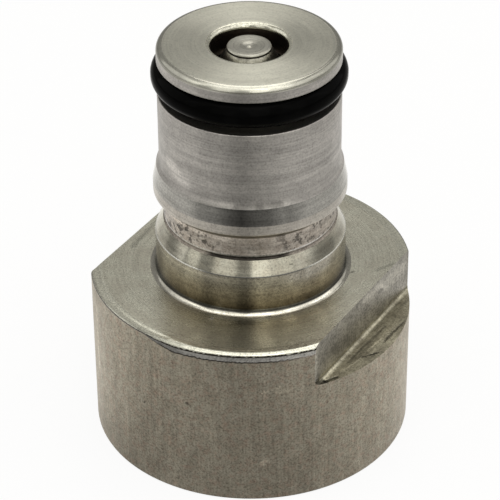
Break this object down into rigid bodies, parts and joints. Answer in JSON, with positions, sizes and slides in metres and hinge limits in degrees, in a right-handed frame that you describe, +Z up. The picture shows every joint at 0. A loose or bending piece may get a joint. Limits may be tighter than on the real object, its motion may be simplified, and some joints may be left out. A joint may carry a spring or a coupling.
{
  "type": "keg coupler adapter",
  "caption": "Stainless keg post on a round threaded base with two wrench flats, sealed by an O-ring and closed by a spring-loaded poppet pin.",
  "frame": {"origin": "centre of the base's bottom face, on the post's axis", "axes": "+Z up along the post, +X and -X out of the two wrench flats"},
  "size_m": [0.0312, 0.0312, 0.0414],
  "materials": {
    "turned_steel": "turned and milled, matte",
    "pin_steel": "fine turned",
    "spring_steel": "drawn wire",
    "black_rubber": "smooth, satin",
    "white_washer": "smooth"
  },
  "bodies": {
    "adapter": {"adapter_body": "turned_steel", "post_o_ring": "black_rubber", "poppet_spring": "spring_steel", "spring_seat": "pin_steel", "retaining_ring": "spring_steel", "coupler_gasket": "white_washer"},
    "poppet": {"poppet_pin": "pin_steel", "poppet_o_ring": "black_rubber"}
  },
  "joints": [
    {"name": "poppet_slide", "type": "slide", "parent": "adapter", "child": "poppet", "axis": [0, 0, -1], "range_m": [0, 0.0035], "stiffness_N_per_m": 600, "springref_m": -0.005, "deforming": ["poppet_spring"]}
  ]
}
